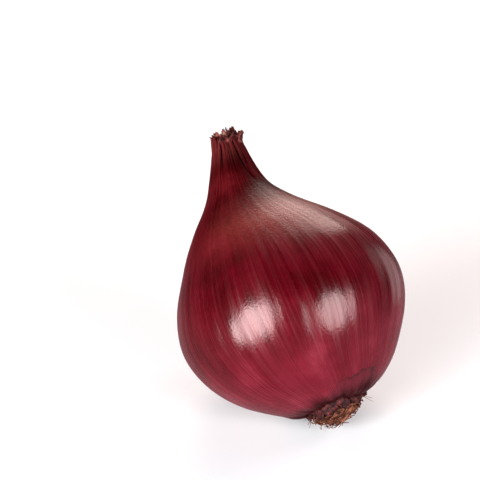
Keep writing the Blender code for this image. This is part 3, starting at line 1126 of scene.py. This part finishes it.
# %% Collar of torn skin
COLLAR_BLADES = 60
COLLAR_HEIGHT = 0.0011
COLLAR_RADII = (0.0098, 0.0108)
LONG_FLAP = 0.0018                   # how much longer the flaps are on one side
LONG_FLAP_ANGLE = math.radians(248)


def torn_collar():
    draw = random.Random(21)
    collar = bmesh.new()
    for number in range(COLLAR_BLADES):
        turned = (number + draw.uniform(-0.4, 0.4)) * math.tau / COLLAR_BLADES
        longer = LONG_FLAP * (0.5 + 0.5 * math.cos(turned - LONG_FLAP_ANGLE)) ** 3
        blade = dry_blade(
            draw, length=draw.uniform(0.0014, 0.0028) + longer, width=draw.uniform(0.0016, 0.0034),
            curl=draw.uniform(0.0, 0.15), bend=draw.uniform(-0.5, 0.4),
            crumple=draw.uniform(0.0006, 0.0010), rows=9, columns=7,
        )
        upside_down = Matrix.Rotation(math.pi, 4, "Y") @ Matrix.Diagonal((-1, 1, 1, 1))
        lean_out = Matrix.Rotation(draw.uniform(0.0, 0.6), 4, "Y")
        join_into(collar, blade,
                  Matrix.Translation((ROOT_SWAY, 0, COLLAR_HEIGHT))
                  @ Matrix.Rotation(turned, 4, "Z")
                  @ Matrix.Translation((draw.uniform(*COLLAR_RADII), 0, 0))
                  @ lean_out @ upside_down)
    bmesh.ops.recalc_face_normals(collar, faces=collar.faces)
    return new_piece("torn_skin_collar", collar)


collar = settle(torn_collar())
print("collar:", len(collar.data.polygons), "faces")

# %% [markdown]
# ## Collar finish
#
# The flaps are the darkest skin on the onion. The same kind of noise as on the leaf ends
# leaves a few paler patches, like worn edges.

# %% Collar material
def collar_material():
    material, tree, shader = new_material("dark_torn_skin", 0.7, 0.2)
    place = add_node(tree, "ShaderNodeTexCoord").outputs["Object"]
    patches = noise(tree, place, 500.0, 4.0, 0.6)
    colour = ramp(tree, patches, (0.38, (0.006, 0.0008, 0.001)), (0.50, (0.030, 0.003, 0.004)),
                  (0.62, (0.066, 0.009, 0.009)), (0.74, (0.150, 0.042, 0.030)))
    tree.links.new(colour, shader.inputs["Base Color"])
    tree.links.new(bump(tree, patches, 0.4, 0.0003), shader.inputs["Normal"])
    return material


collar.data.materials.append(collar_material())
print("collar dressed")

# %% [markdown]
# ## Floor and light
#
# The picture was taken in a plain white studio: a large soft light low on each side, and a
# pale panel behind. A glossy bulb shows its lights as bright patches, so their size and place
# matter more than their strength. A weak light behind on the right draws a thin rim there, and
# two fill lights that the skin doesn't mirror lift its outer sides. The floor is left out of
# the reflections, as if it were a small table with a dark room in front of it, which keeps the
# skin's own colour up to its edges. A faint glow from below stands for the table's near part.

# %% Floor
FLOOR_COLOUR = (0.88, 0.90, 0.92)
FLOOR_SIZE = 3.0           # metres from the middle to each side


def add_floor():
    bm = bmesh.new()
    bmesh.ops.create_grid(bm, x_segments=1, y_segments=1, size=FLOOR_SIZE)
    floor = new_piece("floor", bm)
    material, tree, shader = new_material("pale_floor", 0.9, 0.0)
    shader.inputs["Base Color"].default_value = (*FLOOR_COLOUR, 1.0)
    floor.data.materials.append(material)
    floor.visible_glossy = False
    return floor


floor = add_floor()
print("floor", [round(side, 1) for side in floor.dimensions], "m")

# %% Lights
LIGHTS = (
    # name, place, width, height, watts, colour, whether the skin mirrors it
    ("left_softbox", (-0.49, -0.62, 0.125), 0.58, 0.74, 21.5, (1.0, 1.0, 1.0), True),
    ("right_softbox", (0.545, -0.56, 0.19), 0.55, 0.54, 9.4, (1.0, 1.0, 1.0), True),
    ("back_panel", (0.01, 0.74, 0.50), 0.70, 0.50, 5.6, (1.0, 0.84, 0.76), True),
    ("right_rim", (0.62, 0.52, 0.04), 0.40, 0.60, 0.7, (1.0, 0.84, 0.84), True),
    ("left_fill", (-0.62, 0.22, 0.06), 0.40, 0.40, 3.0, (1.0, 0.90, 0.92), False),
    ("right_fill", (0.60, 0.34, 0.30), 0.40, 0.40, 2.5, (1.0, 0.90, 0.92), False),
)
LIGHT_AIM = Vector((0, 0, 0.04))


def add_light(name, place, width, height, watts, colour, mirrored):
    data = bpy.data.lights.new(name, "AREA")
    data.shape = "ELLIPSE"
    data.size, data.size_y = width, height
    data.energy = watts
    data.color = colour
    light = bpy.data.objects.new(name, data)
    bpy.context.collection.objects.link(light)
    light.location = place
    light.rotation_euler = (LIGHT_AIM - light.location).to_track_quat("-Z", "Y").to_euler()
    light.visible_glossy = mirrored


for light in LIGHTS:
    add_light(*light)
print(len(LIGHTS), "lights")

# %% World and the picture's tones
ROOM_BELOW = 0.46
ROOM_ABOVE = 0.01
ROOM_COLOUR = (1.0, 0.56, 0.60)
GLOW_DEPTH = -0.50         # how steeply downwards the glow is full


def add_world():
    """A dark room with a pale glow from below."""
    world = bpy.data.worlds.new("studio")
    world.use_nodes = True
    tree = world.node_tree
    direction = add_node(tree, "ShaderNodeTexCoord").outputs["Generated"]
    upwards = add_node(tree, "ShaderNodeSeparateXYZ", Vector=direction).outputs["Z"]
    glow = add_node(
        tree, "ShaderNodeMapRange", {"interpolation_type": "SMOOTHSTEP"}, Value=upwards,
        From_Min=GLOW_DEPTH, From_Max=0.0, To_Min=ROOM_BELOW, To_Max=ROOM_ABOVE,
    )
    tree.links.new(glow.outputs["Result"], tree.nodes["Background"].inputs["Strength"])
    tree.nodes["Background"].inputs["Color"].default_value = (*ROOM_COLOUR, 1.0)
    return world


bpy.context.scene.world = add_world()
bpy.context.scene.view_settings.view_transform = "Standard"
print("the room shines with", ROOM_BELOW, "below and", ROOM_ABOVE, "above")

# %% [markdown]
# ## Tying the pieces to the solid
#
# Every piece is tied to the solid's one body, and the solid's own surfaces are hidden where a
# detailed piece stands for them.

# %% Tie the pieces to the solid and finish
for piece in (skin, leaf_ends, plate, roots, collar):
    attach(piece, "root")
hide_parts("bulb")
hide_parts("bulb")
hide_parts("bulb")
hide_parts("root_tuft")
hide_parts("root_tuft")
